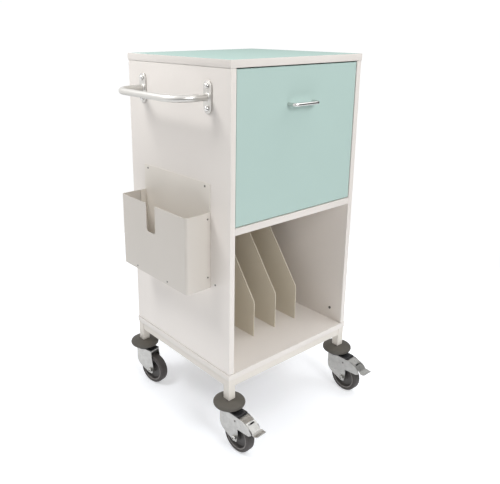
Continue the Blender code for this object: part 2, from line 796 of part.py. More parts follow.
def make_runners(root, drawer):
    """Full-extension runners: on each side three nested channels."""
    nest = RUNNER_SHEET + RUNNER_GAP
    depth = RUNNER_WIDTH - nest - RUNNER_SHEET
    for name, side in (("left", -1), ("right", 1)):
        wall = side * (panel_inside - FIT)
        inward = -side
        seat = (0, runner_start, runner_height)
        cabinet = empty(f"{name}_runner_seat", root, seat)
        slider = empty(f"{name}_runner_slider", root, seat)
        channel(f"{name}_cabinet_runner", cabinet, wall, depth, RUNNER_HEIGHT, RUNNER_LENGTH, inward)
        channel(
            f"{name}_middle_runner", slider, wall + inward * nest, depth,
            RUNNER_HEIGHT - 2 * nest, RUNNER_LENGTH, inward,
        )
        moving = empty(f"{name}_drawer_runner_seat", drawer, seat)
        channel(
            f"{name}_drawer_runner", moving, wall + inward * RUNNER_WIDTH, depth - nest,
            RUNNER_HEIGHT - 4 * nest, RUNNER_LENGTH, -inward,
        )


def make_drawer(root):
    """A deep filing drawer with an inset front and a bow handle."""
    drawer = empty("drawer", root)
    front_half = panel_inside - DRAWER_GAP
    front_face = -panel_end + DRAWER_RECESS
    front_top = worktop_bottom - DRAWER_TOP_GAP
    board(
        "drawer_front", "aqua_board", drawer,
        (-front_half, front_face, shelf_top + DRAWER_GAP), (front_half, drawer_front_back, front_top),
    )
    low = shelf_top + DRAWER_CLEARANCE
    high = low + DRAWER_SIDE_HEIGHT
    start = drawer_front_back + FIT
    rear = start + RUNNER_LENGTH
    for name, side in (("drawer_left_side", -1), ("drawer_right_side", 1)):
        faces = sorted((side * drawer_outside, side * (drawer_outside - DRAWER_WALL)))
        board(name, "white_board", drawer, (faces[0], start, low), (faces[1], rear, high))
    inside = drawer_outside - DRAWER_WALL - FIT
    bottom_low = low + DRAWER_BOTTOM_RAISE
    bottom_high = bottom_low + DRAWER_BOTTOM_THICKNESS
    board(
        "drawer_bottom", "white_board", drawer,
        (-inside, start, bottom_low), (inside, rear, bottom_high),
    )
    board(
        "drawer_back", "white_board", drawer,
        (-inside, rear - DRAWER_WALL, bottom_high + FIT), (inside, rear, high),
    )
    make_pull(drawer, front_face - FIT, front_top - PULL_DROP)
    make_runners(root, drawer)


def make_pull(drawer, face, height):
    """Bow handle bent from round bar."""
    half = PULL_SPACING / 2
    bar = face + FIT - PULL_REACH + PULL_DIAMETER / 2
    route = fillet(
        [(-half, face, 0), (-half, bar, PULL_BEND), (half, bar, PULL_BEND), (half, face, 0)], closed=False, steps=5
    )
    rod("drawer_handle", "chrome", drawer, [(x, y, height) for x, y in route], PULL_DIAMETER, 3)


def make_push_handle(root):
    """Bowed tube welded to two round-ended plates."""
    wall = -panel_outside - FIT
    rear = SIDE_CENTRE_Y + HANDLE_SPACING / 2
    front = SIDE_CENTRE_Y - HANDLE_SPACING / 2
    out = -panel_outside - HANDLE_REACH + HANDLE_DIAMETER / 2
    inner = wall - HANDLE_PLATE_THICKNESS / 2
    route = fillet(
        [(inner, rear, 0), (out, rear, HANDLE_BEND), (out, front, HANDLE_BEND), (inner, front, 0)],
        closed=False, steps=8,
    )
    handle = rod(
        "push_handle", "chrome", root, [(x, y, handle_height) for x, y in route], HANDLE_DIAMETER, 4
    )
    half_width = HANDLE_PLATE_WIDTH / 2
    half_height = HANDLE_PLATE_HEIGHT / 2
    round_end = half_width - MERGE
    for name, y in (("rear", rear), ("front", front)):
        outline = fillet(
            [
                (y - half_width, -half_height, round_end),
                (y + half_width, -half_height, round_end),
                (y + half_width, half_height, round_end),
                (y - half_width, half_height, round_end),
            ],
            closed=True,
        )
        seat = (wall - HANDLE_PLATE_THICKNESS / 2, 0, handle_height)
        join(handle, plate(f"{name}_handle_plate", None, root, outline, HANDLE_PLATE_THICKNESS, SIDE_VIEW, seat))


def make_pocket(root):
    """Document pocket: a back plate with floor and flanges, and a folded front with a finger slot."""
    wall = -panel_outside - FIT
    face = wall - POCKET_DEPTH
    half = POCKET_WIDTH / 2
    front = box(
        "pocket_front", "cream_paint", root,
        (face, SIDE_CENTRE_Y - half, pocket_bottom), (wall, SIDE_CENTRE_Y + half, pocket_top),
    )
    upright = front.modifiers.new("folds", "BEVEL")
    upright.width = POCKET_FOLD
    upright.segments = CORNER_STEPS
    upright.limit_method = "WEIGHT"
    weights = front.data.attributes.new("bevel_weight_edge", "FLOAT", "EDGE")
    for edge in front.data.edges:
        first, second = (front.data.vertices[index].co for index in edge.vertices)
        at_front = first.x < 0 and second.x < 0
        weights.data[edge.index].value = float(at_front and abs(first.z - second.z) > MERGE)
    hollow = box(
        "pocket_hollow", None, root,
        (face + POCKET_SHEET, SIDE_CENTRE_Y - half + POCKET_SHEET, pocket_bottom - TUBE),
        (wall + TUBE, SIDE_CENTRE_Y + half - POCKET_SHEET, pocket_top + TUBE),
    )
    bevel(hollow, POCKET_FOLD - POCKET_SHEET, CORNER_STEPS)
    cut(front, hollow)
    slot_centre = SIDE_CENTRE_Y + SLOT_OFFSET
    slot_low = pocket_top - SLOT_DEPTH
    slot_outline = fillet(
        [
            (slot_centre - SLOT_WIDTH / 2, slot_low, SLOT_CORNER),
            (slot_centre + SLOT_WIDTH / 2, slot_low, SLOT_CORNER),
            (slot_centre + SLOT_WIDTH / 2, pocket_top + TUBE, 0),
            (slot_centre - SLOT_WIDTH / 2, pocket_top + TUBE, 0),
        ],
        closed=True,
    )
    cut(front, plate("pocket_slot", None, root, slot_outline, 4 * POCKET_FOLD, SIDE_VIEW, (face, 0, 0)))
    make_pocket_back(root, wall, face, half)


def make_pocket_back(root, wall, face, half):
    """Back plate with a floor, a low lip behind the front and a flange along each side."""
    inside = half - POCKET_SHEET - FIT
    low_y, high_y = SIDE_CENTRE_Y - inside, SIDE_CENTRE_Y + inside
    back = box(
        "pocket_back", "cream_paint", root,
        (wall - POCKET_SHEET, low_y, pocket_bottom), (wall, high_y, pocket_top + POCKET_BACK_RISE),
    )
    rear = wall - POCKET_SHEET / 2
    front = face + POCKET_SHEET + FIT
    floor = pocket_bottom + FIT + POCKET_SHEET / 2
    floor_outline = fillet(
        [
            (rear, low_y + FIT, 0),
            (rear, high_y - FIT, 0),
            (front, high_y - FIT, POCKET_FOLD),
            (front, low_y + FIT, POCKET_FOLD),
        ],
        closed=True,
    )
    join(back, plate(
        "pocket_floor", None, root, floor_outline, POCKET_SHEET, Matrix.Identity(4), (0, 0, floor)
    ))
    join(back, box(
        "pocket_front_lip", None, root,
        (front + FIT, low_y + 2 * POCKET_FOLD, floor),
        (front + FIT + POCKET_SHEET, high_y - 2 * POCKET_FOLD, pocket_bottom + POCKET_FRONT_LIP),
    ))
    for name, side in (("front", -1), ("rear", 1)):
        outer = SIDE_CENTRE_Y + side * (inside - 2 * FIT)
        edges = sorted((outer, outer - side * POCKET_SHEET))
        join(back, box(
            f"pocket_{name}_flange", None, root,
            (wall - POCKET_FLANGE, edges[0], floor), (wall - POCKET_SHEET / 3, edges[1], pocket_top - FIT),
        ))


def main():
    global parts, cutters
    clear_scene()
    parts = new_collection("medical_records_workstation")
    cutters = new_collection("cutters")
    make_materials()
    root = empty("workstation", None, (-middle_x, -middle_y, 0))
    make_cabinet(root)
    make_base_frame(root)
    make_drawer(root)
    make_push_handle(root)
    make_pocket(root)
    for corner, (side, end, angle, braked) in CASTERS.items():
        make_caster(root, corner, side, end, angle, braked)


main()
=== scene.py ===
"""Looks of the medical records workstation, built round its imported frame."""

import json
import logging
import math
from collections.abc import Callable, Iterable
from dataclasses import dataclass, field, replace
from enum import Enum

import bmesh
import bpy
from mathutils import Matrix, Vector

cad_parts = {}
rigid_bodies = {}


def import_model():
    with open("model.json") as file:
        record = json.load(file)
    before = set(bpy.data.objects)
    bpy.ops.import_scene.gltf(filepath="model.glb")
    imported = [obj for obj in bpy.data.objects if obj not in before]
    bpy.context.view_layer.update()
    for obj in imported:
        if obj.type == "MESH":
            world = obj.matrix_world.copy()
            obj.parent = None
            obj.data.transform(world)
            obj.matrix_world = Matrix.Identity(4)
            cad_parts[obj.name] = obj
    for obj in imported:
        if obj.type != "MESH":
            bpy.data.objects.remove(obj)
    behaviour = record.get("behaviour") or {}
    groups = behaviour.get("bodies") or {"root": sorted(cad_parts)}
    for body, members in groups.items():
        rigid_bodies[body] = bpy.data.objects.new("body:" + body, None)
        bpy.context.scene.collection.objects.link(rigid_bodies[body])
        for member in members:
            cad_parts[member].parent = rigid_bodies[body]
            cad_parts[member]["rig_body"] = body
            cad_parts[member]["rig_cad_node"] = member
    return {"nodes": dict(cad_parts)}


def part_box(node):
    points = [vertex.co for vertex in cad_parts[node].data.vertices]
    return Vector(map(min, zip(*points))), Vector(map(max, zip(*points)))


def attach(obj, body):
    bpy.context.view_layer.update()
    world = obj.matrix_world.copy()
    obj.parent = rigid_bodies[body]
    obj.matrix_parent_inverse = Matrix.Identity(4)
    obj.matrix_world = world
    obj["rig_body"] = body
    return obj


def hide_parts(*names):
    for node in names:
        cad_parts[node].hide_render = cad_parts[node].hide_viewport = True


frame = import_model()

log = logging.getLogger("workstation")

IMAGE_WIDTH = 500  # pixels of the photograph
SENSOR = 36.0  # millimetres
MERGE = 0.00001  # points nearer than this are one
SMOOTH_ANGLE = math.radians(35)  # faces that meet flatter than this are one round face
EASED_ANGLE = math.radians(40)  # edges sharper than this are eased
EASED_STEPS = 2  # facets across an eased edge
COPLANAR = math.radians(0.5)  # facets that meet flatter than this are one face
UPPER = 0.9  # share of a height that counts as its top
SQUARE = 0.1  # an edge that goes along an axis less than this is square to it
UPRIGHT = 0.9  # rise of an edge that counts as upright
FLAT = 0.99  # rise of the normal of a face that counts as level

Pair = tuple[float, float]
Point = tuple[float, float, float]
Colour = tuple[int, int, int]
Light = tuple[float, float, float, float]
Profile = list[Pair]
Offsets = tuple[Pair, ...]
Choice = Callable[[Vector, Vector], bool]
Piece = bpy.types.Object
Tree = bpy.types.NodeTree
Socket = bpy.types.NodeSocket
Sockets = bpy.types.NodeOutputs
Operand = float | Point | None

WHITE: Light = (1.0, 1.0, 1.0, 1.0)
UNIT: Pair = (0.0, 1.0)


class Corner(Enum):
    """The four casters, with the turn of each fork about the vertical."""

    FRONT_LEFT = ("front_left", 3.0)
    FRONT_RIGHT = ("front_right", 1.0)
    REAR_LEFT = ("rear_left", 12.0)
    REAR_RIGHT = ("rear_right", 6.0)

    @property
    def label(self) -> str:
        """Name of the corner, as its nodes and bodies start."""
        return self.value[0]

    @property
    def yaw(self) -> float:
        """Turn of the fork, in radians."""
        return math.radians(self.value[1])

    @property
    def braked(self) -> bool:
        """Whether the caster has a brake pedal."""
        return self.label.startswith("front")


class Facing(Enum):
    """Directions that a board's edge or a fastener's head can face in."""

    FRONT = (0.0, -1.0, 0.0)
    REAR = (0.0, 1.0, 0.0)
    LEFT = (-1.0, 0.0, 0.0)
    RIGHT = (1.0, 0.0, 0.0)


def linear(value: float) -> float:
    """One sRGB channel from 0 to 255 as linear light."""
    share = value / 255
    return share / 12.92 if share <= 0.04045 else ((share + 0.055) / 1.055) ** 2.4


def shade(colour: Colour, gain: float = 1.0) -> Light:
    """An sRGB colour from 0 to 255 as linear light, times a gain."""
    red, green, blue = (min(1.0, linear(channel) * gain) for channel in colour)
    return (red, green, blue, 1.0)


def operate(tree: Tree, kind: str, operation: str, value: Socket, other: Operand = None) -> Sockets:
    """Adds a node that works on a value.

    Args:
        tree: Node tree to add to.
        kind: Math or VectorMath.
        operation: What the node does.
        value: First operand.
        other: Second operand.

    Returns:
        The node's results.
    """
    node = tree.nodes.new(f"ShaderNode{kind}")
    node.operation = operation
    tree.links.new(value, node.inputs[0])
    if other is not None:
        node.inputs[1].default_value = other
    return node.outputs


def remap(
    tree: Tree, value: Socket, span: Pair = UNIT, levels: Pair = UNIT, course: str = "LINEAR"
) -> Socket:
    """Adds a node that takes a span of values to a span of levels.

    Args:
        tree: Node tree to add to.
        value: Value to map.
        span: Values at both ends.
        levels: Levels at both ends.
        course: Shape of the way between them.

    Returns:
        The level's socket.
    """
    node = tree.nodes.new("ShaderNodeMapRange")
    node.interpolation_type = course
    for name, number in zip(("From Min", "From Max", "To Min", "To Max"), (*span, *levels)):
        node.inputs[name].default_value = number
    tree.links.new(value, node.inputs["Value"])
    return node.outputs["Result"]


@dataclass(frozen=True)
class Finish:
    """A surface finish: colour that drifts a little, roughness that drifts, and a fine relief."""

    name: str
    colour: Colour
    roughness: float
    metallic: float = 0.0
    drift: float = 0.03
    drift_scale: float = 6.0
    rough_spread: float = 0.06
    rough_scale: float = 40.0
    relief_scale: float = 900.0
    relief_depth: float = 0.00006
    relief_strength: float = 0.25
    mapping: str = "POINT"
    stretch: Point = (1.0, 1.0, 1.0)
    specular: float = 0.5
    drift_octaves: float = 4.0
    rough_octaves: float = 5.0
    relief_octaves: float = 3.0
    trough: float = 0.3
    crest: float = 0.7
    least_rough: float = 0.02

    def noise(self, tree: Tree, vector: Socket, scale: float, detail: float) -> Socket:
        """A noise texture on a vector.

        Args:
            tree: Node tree to add to.
            vector: Coordinates.
            scale: Waves in a metre.
            detail: Octaves.

        Returns:
            The factor socket.
        """
        node = tree.nodes.new("ShaderNodeTexNoise")
        node.inputs["Scale"].default_value = scale
        node.inputs["Detail"].default_value = detail
        tree.links.new(vector, node.inputs["Vector"])
        return node.outputs["Fac"]

    def ramp(self, tree: Tree, factor: Socket, low: Light, high: Light) -> Socket:
        """A colour ramp over the middle of a noise.

        Args:
            tree: Node tree to add to.
            factor: Noise factor.
            low: Colour of the troughs.
            high: Colour of the crests.

        Returns:
            The colour socket.
        """
        node = tree.nodes.new("ShaderNodeValToRGB")
        for stop, position, colour in zip(node.color_ramp.elements, (self.trough, self.crest), (low, high)):
            stop.position = position
            stop.color = colour
        tree.links.new(factor, node.inputs["Fac"])
        return node.outputs["Color"]

    def colour_socket(self, tree: Tree, vector: Socket) -> Socket:
        """Base colour with a slow drift."""
        factor = self.noise(tree, vector, self.drift_scale, self.drift_octaves)
        return self.ramp(tree, factor, shade(self.colour, 1 - self.drift), shade(self.colour, 1 + self.drift))

    def height_socket(self, tree: Tree, vector: Socket) -> Socket:
        """Height of the fine relief."""
        return self.noise(tree, vector, self.relief_scale, self.relief_octaves)

    def placing(self) -> dict[str, Point]:
        """What the mapping says: a stretch along the grain."""
        return {"Scale": self.stretch}

    def vector_socket(self, tree: Tree) -> Socket:
        """Object coordinates, mapped as the finish runs.

        Args:
            tree: Node tree to add to.

        Returns:
            The coordinates' socket.
        """
        place = tree.nodes.new("ShaderNodeTexCoord")
        mapped = tree.nodes.new("ShaderNodeMapping")
        mapped.vector_type = self.mapping
        for name, value in self.placing().items():
            mapped.inputs[name].default_value = value
        tree.links.new(place.outputs["Object"], mapped.inputs["Vector"])
        return mapped.outputs["Vector"]

    def material(self) -> bpy.types.Material:
        """Makes the finish's material, once.

        Returns:
            The material.
        """
        made = bpy.data.materials.get(self.name)
        if made is not None:
            return made
        made = bpy.data.materials.new(self.name)
        made.use_nodes = True
        tree = made.node_tree
        shader = tree.nodes["Principled BSDF"]
        shader.inputs["Metallic"].default_value = self.metallic
        shader.inputs["Specular IOR Level"].default_value = self.specular
        vector = self.vector_socket(tree)
        tree.links.new(self.colour_socket(tree, vector), shader.inputs["Base Color"])
        smoothest = max(self.least_rough, self.roughness - self.rough_spread)
        blotches = self.noise(tree, vector, self.rough_scale, self.rough_octaves)
        rough = remap(tree, blotches, levels=(smoothest, self.roughness + self.rough_spread))
        tree.links.new(rough, shader.inputs["Roughness"])
        relief = tree.nodes.new("ShaderNodeBump")
        relief.inputs["Distance"].default_value = self.relief_depth
        relief.inputs["Strength"].default_value = self.relief_strength
        tree.links.new(self.height_socket(tree, vector), relief.inputs["Height"])
        tree.links.new(relief.outputs["Normal"], shader.inputs["Normal"])
        return made


@dataclass(frozen=True)
class WheelFinish(Finish):
    """A finish that runs round a wheel's axle: a rim of another shade and turned rings."""

    mapping: str = "TEXTURE"
    centre: Point = (0.0, 0.0, 0.0)
    yaw: float = 0.0
    rim_from: float = 0.0365
    rim_blend: float = 0.0006
    rim_colour: Colour = (124, 119, 116)
    ring_pitch: float = 0.0022

    def about(self, label: str, centre: Point, yaw: float) -> "WheelFinish":
        """The finish of one caster's wheel, about its axle."""
        return replace(self, name=f"{label}_{self.name}", centre=centre, yaw=yaw)

    def placing(self) -> dict[str, Point]:
        """What the mapping says: coordinates about the axle, with X along it."""
        return {"Location": self.centre, "Rotation": (0.0, 0.0, self.yaw)}

    def radius_socket(self, tree: Tree, vector: Socket) -> Socket:
        """Distance from the axle."""
        flat = operate(tree, "VectorMath", "MULTIPLY", vector, (0.0, 1.0, 1.0))["Vector"]
        return operate(tree, "VectorMath", "LENGTH", flat)["Value"]

    def colour_socket(self, tree: Tree, vector: Socket) -> Socket:
        """Drifting colour, with the rim in its own shade.

        Args:
            tree: Node tree to add to.
            vector: Coordinates about the axle.

        Returns:
            The colour socket.
        """
        blend = (self.rim_from - self.rim_blend, self.rim_from + self.rim_blend)
        edge = remap(tree, self.radius_socket(tree, vector), blend)
        mix = tree.nodes.new("ShaderNodeMix")
        mix.data_type = "RGBA"
        base = super().colour_socket(tree, vector)
        colours = [socket for socket in mix.inputs if socket.type == "RGBA"]
        tree.links.new(base, colours[0])
        colours[1].default_value = shade(self.rim_colour)
        tree.links.new(edge, mix.inputs["Factor"])
        return [socket for socket in mix.outputs if socket.type == "RGBA"][0]

    def height_socket(self, tree: Tree, vector: Socket) -> Socket:
        """Fine turned rings.

        Args:
            tree: Node tree to add to.
            vector: Coordinates about the axle.

        Returns:
            The height socket.
        """
        radius = self.radius_socket(tree, vector)
        wave = operate(tree, "Math", "MULTIPLY", radius, 2 * math.pi / self.ring_pitch)["Value"]
        return operate(tree, "Math", "SINE", wave)["Value"]


def board(name: str, colour: Colour, roughness: float, drift: float, specular: float = 0.5) -> Finish:
    """A melamine face with a faint pearl texture."""
    return Finish(
        name, colour, roughness, drift=drift, drift_scale=3.0, relief_scale=700.0, relief_depth=0.00005,
        relief_strength=0.18, specular=specular,
    )


def paint(name: str, colour: Colour, roughness: float) -> Finish:
    """A powder coat with a faint orange-peel texture."""
    return Finish(
        name, colour, roughness, drift=0.015, relief_scale=420.0, relief_depth=0.00009, relief_strength=0.3,
    )


WHITE_BOARD = board("white_board_finish", (237, 231, 225), 0.42, 0.012)
AQUA_BOARD = board("aqua_board_finish", (178, 200, 194), 0.40, 0.015, specular=0.0)
WHITE_LIPPING = Finish(
    "white_lipping_finish", (227, 221, 215), 0.36, drift=0.010, drift_scale=5.0, relief_scale=500.0,
    relief_depth=0.00003, relief_strength=0.15,
)
CREAM_PAINT = paint("cream_paint_finish", (223, 217, 208), 0.38)
# Cream paint made warmer and lighter for the dividers: painted warm bounce light in the shaded bay.
DIVIDER_PAINT_WITH_BOUNCE_LIGHT = paint("divider_paint_finish", (229, 221, 204), 0.38)
# Cream paint darkened for the pocket's front: painted shade, because the front stands out from the panel and
# catches more light.
POCKET_PAINT_WITH_PAINTED_SHADE = paint("pocket_paint_with_painted_shade", (211, 205, 197), 0.36)
# Cream paint lightened for the pocket's back plate: painted light inside the pocket, where the folded front
# shades the plate.
POCKET_BACK_PAINTED_LIGHT = paint("pale_paint_finish", (235, 229, 220), 0.40)
SATIN_NICKEL = Finish(
    "satin_nickel_finish", (203, 201, 197), 0.40, metallic=1.0, drift=0.02, drift_scale=60.0,
    rough_spread=0.05, rough_scale=500.0, relief_scale=1400.0, relief_depth=0.00002, relief_strength=0.12,
    stretch=(1.0, 0.04, 1.0),
)
CHROME = Finish(
    "chrome_finish", (214, 213, 211), 0.09, metallic=1.0, drift=0.01, rough_spread=0.03, rough_scale=90.0,
    relief_depth=0.00001, relief_strength=0.08,
)
ZINC = Finish(
    "zinc_finish", (182, 181, 178), 0.30, metallic=1.0, drift=0.09, drift_scale=70.0, rough_spread=0.09,
    rough_scale=160.0, relief_scale=240.0, relief_depth=0.00008, relief_strength=0.35,
)
SCREW_STEEL = Finish(
    "screw_steel_finish", (120, 118, 115), 0.34, metallic=1.0, drift=0.05, drift_scale=300.0,
)
BUMPER_RUBBER = Finish(
    "bumper_rubber_finish", (82, 78, 71), 0.62, drift=0.06, drift_scale=30.0, relief_scale=600.0,
    relief_depth=0.00012, relief_strength=0.35,
)
# Black plastic of the swivel heads. On the crown's plate the same black is a painted reflection of the dark
# bumper.
BLACK_PLASTIC_AND_DARK_REFLECTION = Finish(
    "black_plastic_finish", (36, 36, 38), 0.42, drift=0.08, drift_scale=60.0, relief_scale=800.0,
    relief_depth=0.00008, relief_strength=0.3,
)
HUB_PLASTIC = WheelFinish(
    "hub_finish", (82, 79, 77), 0.46, drift=0.05, drift_scale=60.0, relief_depth=0.0001, relief_strength=0.2,
)
TYRE_RUBBER = WheelFinish(  # its rim starts beyond the tread, so none shows
    "tyre_finish", (66, 62, 60), 0.62, drift=0.07, drift_scale=60.0, relief_depth=0.0002,
    relief_strength=0.25, rim_from=0.2, ring_pitch=0.0030,
)
STUDIO_PAPER = Finish("studio_paper", (222, 225, 230), 0.9, drift=0.004, drift_scale=1.0, specular=0.1)


def clear_selection() -> None:
    """Leaves every object unselected, in object mode."""
    if bpy.context.object is not None and bpy.context.object.mode != "OBJECT":
        bpy.ops.object.mode_set(mode="OBJECT")
    bpy.ops.object.select_all(action="DESELECT")


def make_active(piece: Piece) -> None:
    """Selects one piece alone and makes it active.

    Args:
        piece: Piece to select.
    """
    clear_selection()
    piece.select_set(True)
    bpy.context.view_layer.objects.active = piece


def open_mesh(piece: Piece) -> None:
    """Opens a piece in edit mode with nothing selected.

    Args:
        piece: Piece to edit.
    """
    make_active(piece)
    bpy.ops.object.mode_set(mode="EDIT")
    bpy.ops.mesh.select_all(action="DESELECT")


def pick(piece: Piece, wanted: Choice, faces: bool = False) -> None:
    """Selects some edges or faces, in edit mode.

    Args:
        piece: Piece in edit mode.
        wanted: Judges an edge by its middle and direction, or a face by its middle and normal.
        faces: Whether faces are picked.
    """
    bpy.context.tool_settings.mesh_select_mode = (False, not faces, faces)
    mesh = bmesh.from_edit_mesh(piece.data)
    mesh.normal_update()
    for item in mesh.faces if faces else mesh.edges:
        ends = [vertex.co for vertex in item.verts]
        along = item.normal if faces else (ends[1] - ends[0]).normalized()
        item.select_set(wanted(sum(ends, Vector()) / len(ends), along))
    mesh.select_flush_mode()
    bmesh.update_edit_mesh(piece.data)


def top_rim(height: float) -> Choice:
    """Picks the level edges at the top of a piece of some height that stands on the XY plane."""
    return lambda middle, along: middle.z > UPPER * height and abs(along.z) < SQUARE


def round_edges(width: float, steps: int) -> None:
    """Rounds the selected edges, in edit mode."""
    bpy.ops.mesh.bevel(offset=width, segments=steps, profile=0.5, affect="EDGES")


def extrude(along: Point) -> None:
    """Extrudes the selection, in edit mode."""
    bpy.ops.mesh.extrude_region_move(TRANSFORM_OT_translate={"value": along})


def close_mesh() -> None:
    """Goes back to object mode."""
    bpy.ops.object.mode_set(mode="OBJECT")


def fix_place() -> None:
    """Puts the place of the selected piece into its mesh."""
    bpy.ops.object.transform_apply(location=True, rotation=True, scale=True)


def settle(piece: Piece) -> Piece:
    """Puts a piece's place into its mesh and smooths its round faces.

    Args:
        piece: Finished piece.

    Returns:
        The same piece, at the origin.
    """
    make_active(piece)
    fix_place()
    bpy.ops.object.shade_smooth_by_angle(angle=SMOOTH_ANGLE)
    return piece


def apply_modifier(piece: Piece, modifier: bpy.types.Modifier) -> None:
    """Applies one modifier to a piece."""
    make_active(piece)
    bpy.ops.object.modifier_apply(modifier=modifier.name)


def dress(piece: Piece, name: str, body: str, finish: Finish) -> None:
    """Names a piece, gives it its finish and lets it move with a body.

    Args:
        piece: Settled piece.
        name: Name of the piece.
        body: Body that it moves with.
        finish: Finish to wear.
    """
    piece.name = name
    piece.data.name = name
    piece.data.materials.clear()
    piece.data.materials.append(finish.material())
    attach(piece, body)
    log.info("piece %s rides on %s", name, body)


def wear(nodes: Iterable[str], finish: Finish) -> None:
    """Gives frame nodes a finish.

    Args:
        nodes: Names of the nodes.
        finish: Finish to wear.
    """
    for name in nodes:
        data = frame["nodes"][name].data
        data.materials.clear()
        data.materials.append(finish.material())
        log.info("node %s wears %s", name, finish.name)


def copy_at(master: Piece, place: Matrix) -> Piece:
    """A copy of a master with its own mesh, in its place.

    Args:
        master: Piece to copy.
        place: Place and turn of the copy.

    Returns:
        The settled copy.
    """
    make_active(master)
    bpy.ops.object.duplicate(linked=False)
    piece = bpy.context.view_layer.objects.active
    piece.matrix_world = place
    return settle(piece)


def pointing(at: Iterable[float], axis: Iterable[float]) -> Matrix:
    """A place whose Z axis points along an axis."""
    turn = Vector(tuple(axis)).to_track_quat("Z", "Y").to_matrix().to_4x4()
    return Matrix.Translation(Vector(tuple(at))) @ turn


def discard(*pieces: Piece) -> None:
    """Removes masters and cutters that aren't part of the object."""
    for piece in pieces:
        bpy.data.objects.remove(piece, do_unlink=True)


def cut_away(piece: Piece, cutter: Piece) -> None:
    """Cuts a piece with another.

    Args:
        piece: Piece to cut.
        cutter: Piece to cut with, which is then removed.
    """
    cut = piece.modifiers.new("clearance", "BOOLEAN")
    cut.operation = "DIFFERENCE"
    cut.solver = "EXACT"
    cut.object = cutter
    apply_modifier(piece, cut)
    discard(cutter)


def block(low: Iterable[float], high: Iterable[float]) -> Piece:
    """A plain block between two corners, as a start or a cutter.

    Args:
        low: Lowest corner.
        high: Highest corner.

    Returns:
        The block, with its place in its mesh.
    """
    first, second = Vector(tuple(low)), Vector(tuple(high))
    clear_selection()
    bpy.ops.mesh.primitive_cube_add(size=1.0, location=(first + second) / 2, scale=second - first)
    fix_place()
    return bpy.context.object


def arc(centre: Pair, radius: float, start: float, end: float, steps: int = 8) -> Profile:
    """Points on a round corner of a profile, between two angles in degrees from the outward direction."""
    angles = [math.radians(start + (end - start) * step / steps) for step in range(steps + 1)]
    return [(centre[0] + radius * math.cos(angle), centre[1] + radius * math.sin(angle)) for angle in angles]


def shifted(corner: Pair, offsets: Offsets) -> Profile:
    """Points of a profile at offsets from a corner."""
    return [(corner[0] + out, corner[1] + up) for out, up in offsets]


def mirrored(upper: Profile) -> Profile:
    """The closed profile of a piece that is alike above and below."""
    return [*upper, *((radius, -height) for radius, height in reversed(upper)), upper[0]]


def turned(profile: Profile, steps: int = 96) -> Piece:
    """Models a turned piece: a point extruded along a profile and spun about Z.

    Args:
        profile: Radius and height of each point.
        steps: Facets round the axis.

    Returns:
        The piece, about the origin.
    """
    clear_selection()
    bpy.ops.mesh.primitive_plane_add(size=MERGE)
    piece = bpy.context.object
    open_mesh(piece)
    bpy.context.tool_settings.mesh_select_mode = (True, False, False)
    bpy.ops.mesh.select_all(action="SELECT")
    bpy.ops.mesh.merge(type="CENTER")
    last = (0.0, 0.0)
    for number, point in enumerate(profile):
        move = (point[0] - last[0], 0, point[1] - last[1])
        if number == 0:
            bpy.ops.transform.translate(value=move)
        else:
            extrude(move)
        last = point
    bpy.ops.mesh.select_all(action="SELECT")
    bpy.ops.mesh.spin(steps=steps, angle=2 * math.pi, center=(0, 0, 0), axis=(0, 0, 1))
    seal()
    return piece


def seal() -> None:
    """Merges doubles, closes open ends, turns the faces outwards and goes back to object mode."""
    bpy.ops.mesh.select_all(action="SELECT")
    bpy.ops.mesh.remove_doubles(threshold=MERGE)
    bpy.ops.mesh.fill_holes(sides=0)
    bpy.ops.mesh.normals_make_consistent(inside=False)
    close_mesh()


def ease(
    node: str, finish: Finish, width: float, corners: Choice | None = None, rounding: float = 0.0,
    rounding_steps: int = 6,
) -> None:
    """Stands a copy of a frame node with eased edges in for it.

    Args:
        node: Name of the node.
        finish: Finish to wear.
        width: Width of the eased edges.
        corners: Picks edges to round further by their middle and direction.
        rounding: Radius of those corners.
        rounding_steps: Facets in each of those corners.
    """
    source = frame["nodes"][node]
    body = source["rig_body"]
    piece = source.copy()
    piece.data = source.data.copy()
    del piece["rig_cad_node"]
    piece.parent = None
    bpy.context.scene.collection.objects.link(piece)
    open_mesh(piece)
    bpy.ops.mesh.select_all(action="SELECT")
    bpy.ops.mesh.remove_doubles(threshold=MERGE)
    bpy.ops.mesh.dissolve_limited(angle_limit=COPLANAR)
    if corners is not None:
        pick(piece, corners)
        round_edges(rounding, rounding_steps)
    close_mesh()
    bevel = piece.modifiers.new("eased_edges", "BEVEL")
    bevel.width = width
    bevel.segments = EASED_STEPS
    bevel.limit_method = "ANGLE"
    bevel.angle_limit = EASED_ANGLE
    apply_modifier(piece, bevel)
    settle(piece)
    flat = piece.modifiers.new("flat_faces", "WEIGHTED_NORMAL")
    flat.keep_sharp = True
    apply_modifier(piece, flat)
    dress(piece, f"{node}_eased", body, finish)
    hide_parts(node)


